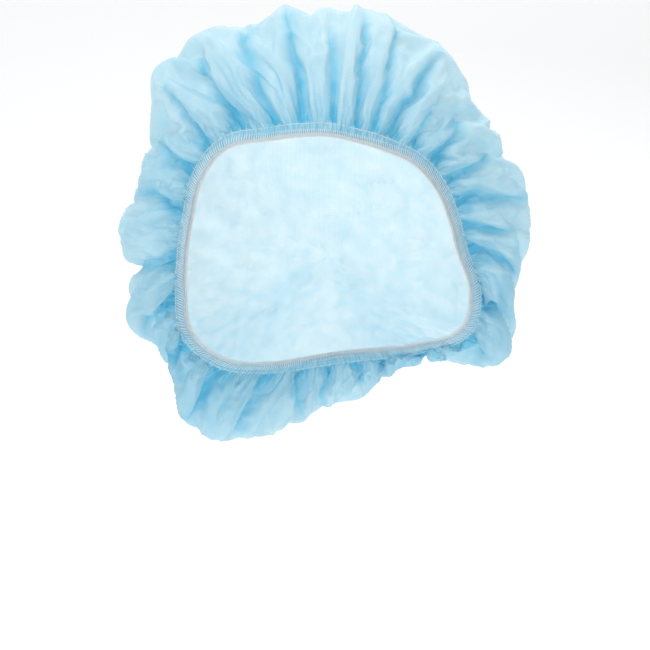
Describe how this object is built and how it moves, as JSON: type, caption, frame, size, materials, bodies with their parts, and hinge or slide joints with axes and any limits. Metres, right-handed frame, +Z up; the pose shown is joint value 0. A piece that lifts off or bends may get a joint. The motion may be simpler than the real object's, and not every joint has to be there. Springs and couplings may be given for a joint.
{
  "type": "disposable bouffant hairnet",
  "caption": "Light-blue nonwoven bouffant cap in its worn form: a gathered, puffed bag on an elasticated edge that runs from the brow, round the cheeks, to the nape.",
  "frame": {"origin": "middle of the elastic's loop, inside the head that wears the cap, level with the eyes", "axes": "+X to the wearer's left, which is the right of a viewer who faces the cap; +Y from the face opening to the back of the head; +Z up"},
  "size_m": [0.232, 0.2227, 0.2378],
  "materials": {
    "nonwoven": "thin light-blue spunbond, translucent and matt",
    "elastic": "white, matt, thread-wrapped rubber"
  },
  "bodies": {
    "root": {"bouffant_bag": "nonwoven", "gathered_edge": "nonwoven", "elastic": "elastic"}
  },
  "joints": []
}
